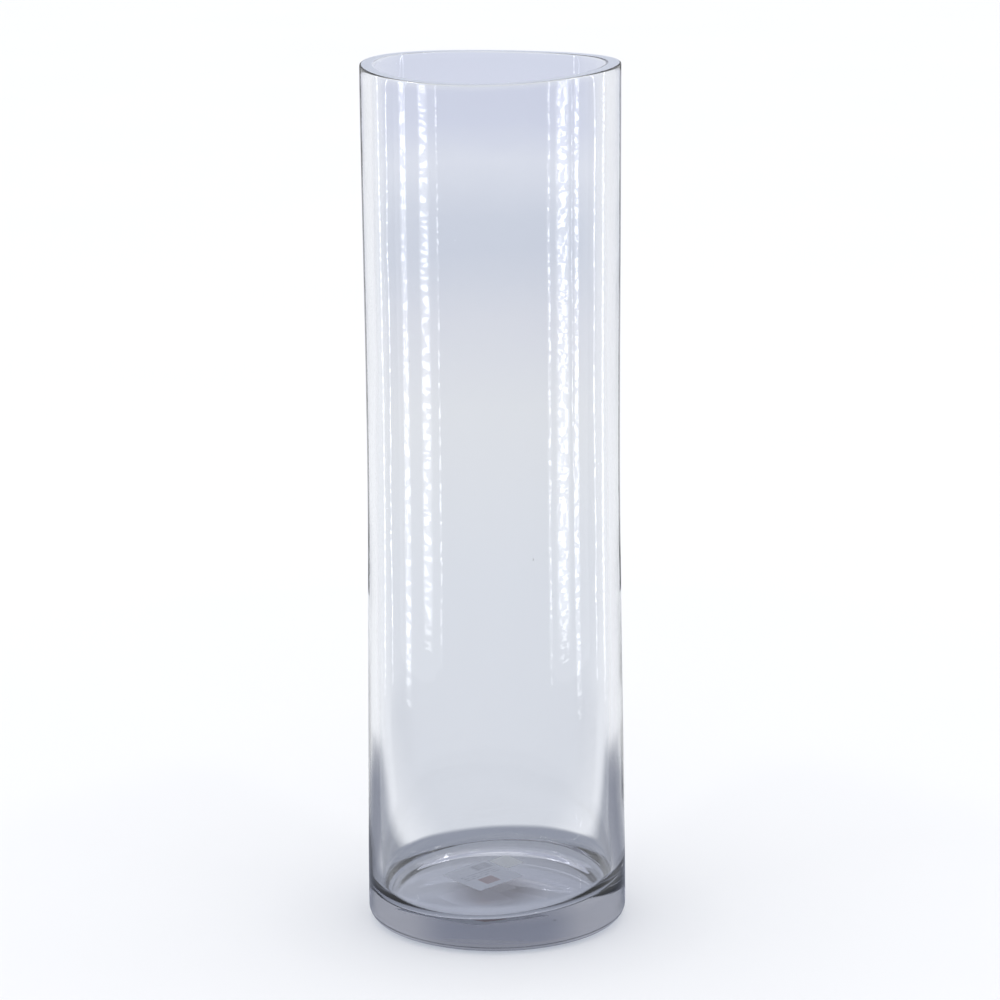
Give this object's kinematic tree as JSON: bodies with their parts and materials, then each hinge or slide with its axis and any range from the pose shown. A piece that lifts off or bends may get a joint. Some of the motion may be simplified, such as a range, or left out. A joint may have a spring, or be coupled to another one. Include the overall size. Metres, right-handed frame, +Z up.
{
  "type": "glass cylinder vase",
  "caption": "Tall clear glass cylinder vase with a thick heavy base, a flat polished rim and paper labels stuck under the foot.",
  "frame": {"origin": "centre of the flat ring that the vase stands on", "axes": "+Z up along the vase's own axis, towards the open rim; the labels' near corner is on the -Y side"},
  "size_m": [0.1505, 0.1506, 0.5],
  "materials": {
    "clear_glass": "clear, polished, faintly blue-grey in thick sections",
    "label_paper": "white coated paper with a muted red block and grey rules",
    "blank_paper": "plain greenish-white paper"
  },
  "bodies": {
    "root": {"vase_body": "clear_glass", "price_label": "label_paper", "stock_label": "blank_paper"}
  },
  "joints": []
}
